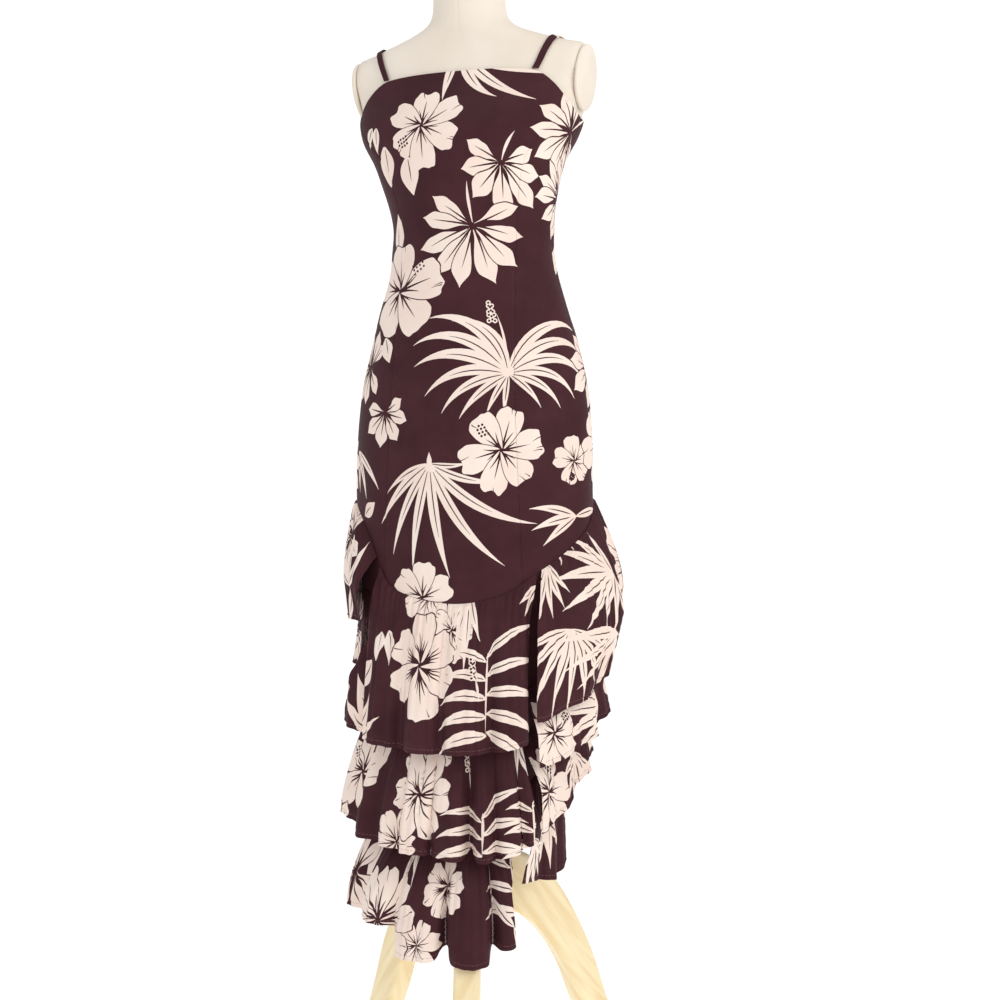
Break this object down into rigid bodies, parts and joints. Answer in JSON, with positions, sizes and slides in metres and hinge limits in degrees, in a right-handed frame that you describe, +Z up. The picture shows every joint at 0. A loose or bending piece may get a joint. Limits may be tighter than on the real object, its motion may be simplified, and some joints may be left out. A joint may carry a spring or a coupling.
{
  "type": "hula dance dress on a limbless dress form with a wooden tripod",
  "caption": "Sleeveless hula dance dress, plum with cream hibiscus and leaf print, fitted to the hips with curved tiers of gathered flounces, on a cloth-covered form and wooden tripod.",
  "frame": {"origin": "on the floor, under the middle of the whole object's box", "axes": "+Z up along the form and its pole; the dress faces -Y; +X is the wearer's left"},
  "size_m": [0.4614, 0.4548, 1.58],
  "materials": {
    "printed_cloth": "matt smooth weave, cream print",
    "form_cover": "matt knit cover",
    "pine_wood": "satin clear varnish"
  },
  "bodies": {
    "root": {"bodice_front_centre": "printed_cloth", "bodice_front_side_left": "printed_cloth", "bodice_front_side_right": "printed_cloth", "bodice_back_left": "printed_cloth", "bodice_back_right": "printed_cloth", "strap_left": "printed_cloth", "strap_right": "printed_cloth", "underskirt_front": "printed_cloth", "underskirt_back": "printed_cloth", "flounce_front_1": "printed_cloth", "flounce_front_2": "printed_cloth", "flounce_front_3": "printed_cloth", "flounce_back_1_left": "printed_cloth", "flounce_back_1_right": "printed_cloth", "flounce_back_2_left": "printed_cloth", "flounce_back_2_right": "printed_cloth", "flounce_back_3_left": "printed_cloth", "flounce_back_3_right": "printed_cloth", "flounce_back_4_left": "printed_cloth", "flounce_back_4_right": "printed_cloth", "form_torso": "form_cover", "form_arm_plate_left": "form_cover", "form_arm_plate_right": "form_cover", "stand_collar": "pine_wood", "stand_pole": "pine_wood", "stand_hub": "pine_wood", "stand_leg_1": "pine_wood", "stand_leg_2": "pine_wood", "stand_leg_3": "pine_wood"}
  },
  "joints": []
}
